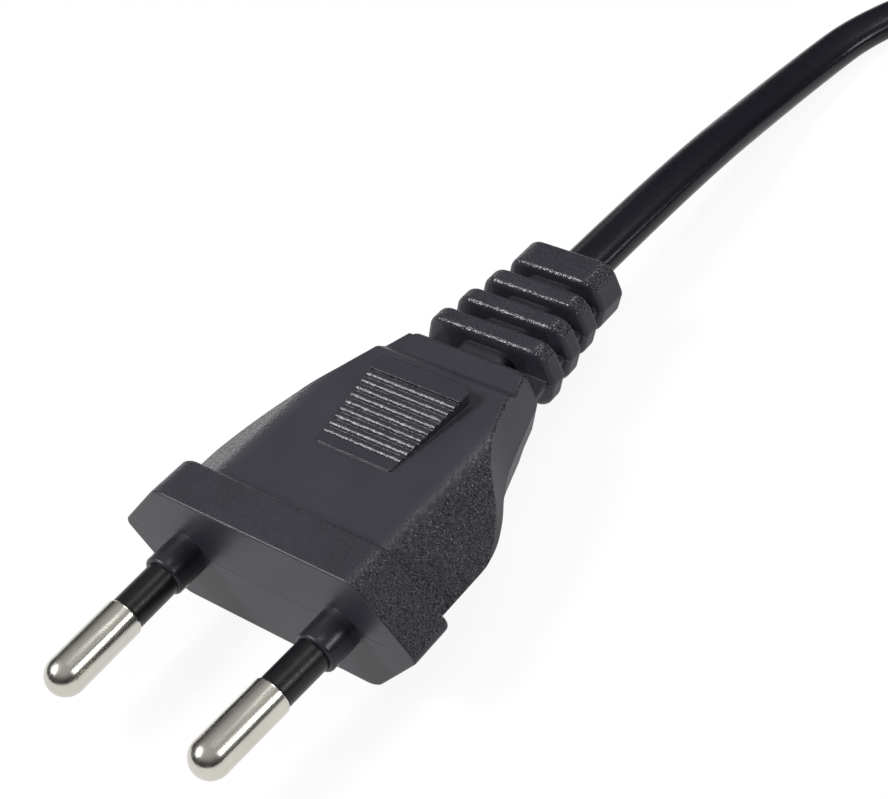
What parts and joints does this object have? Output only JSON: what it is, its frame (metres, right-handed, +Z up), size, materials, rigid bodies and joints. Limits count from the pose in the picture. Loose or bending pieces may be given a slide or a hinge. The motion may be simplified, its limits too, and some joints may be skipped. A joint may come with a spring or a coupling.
{
  "type": "europlug",
  "caption": "Flat europlug with sleeved round pins, a hexagonal flange, ridged thumb pads and a slotted strain relief, on a flat black cord that ends in a figure-eight connector.",
  "frame": {"origin": "centre of the engagement face, midway between the two pins", "axes": "+X across the plug towards the right pin, +Y out of the back towards the cord, +Z up as the plug lies flat"},
  "size_m": [0.0442, 0.3181, 0.0138],
  "materials": {
    "moulding": "charcoal black PVC with a fine grain",
    "pin_metal": "nickel plated, polished",
    "sleeve": "black, semi-matt",
    "insert": "dark grey hard plastic",
    "core_brown": "brown insulation",
    "core_blue": "blue insulation",
    "copper": "bare copper strands",
    "sheath": "black PVC, smooth",
    "tie": "black band",
    "nose": "black hard plastic",
    "contact": "plain brass"
  },
  "bodies": {
    "root": {"moulded_body": "moulding", "pin_left": "pin_metal", "pin_right": "pin_metal", "sleeve_left": "sleeve", "sleeve_right": "sleeve", "pin_bridge": "insert", "core_left": "core_blue", "core_right": "core_brown", "conductor_left": "copper", "conductor_right": "copper", "cord": "sheath", "cord_coil": "sheath", "cord_tie": "tie", "connector_body": "moulding", "connector_nose": "nose", "connector_contact_left": "contact", "connector_contact_right": "contact", "connector_core_left": "core_blue", "connector_core_right": "core_brown", "connector_conductor_left": "copper", "connector_conductor_right": "copper"}
  },
  "joints": []
}
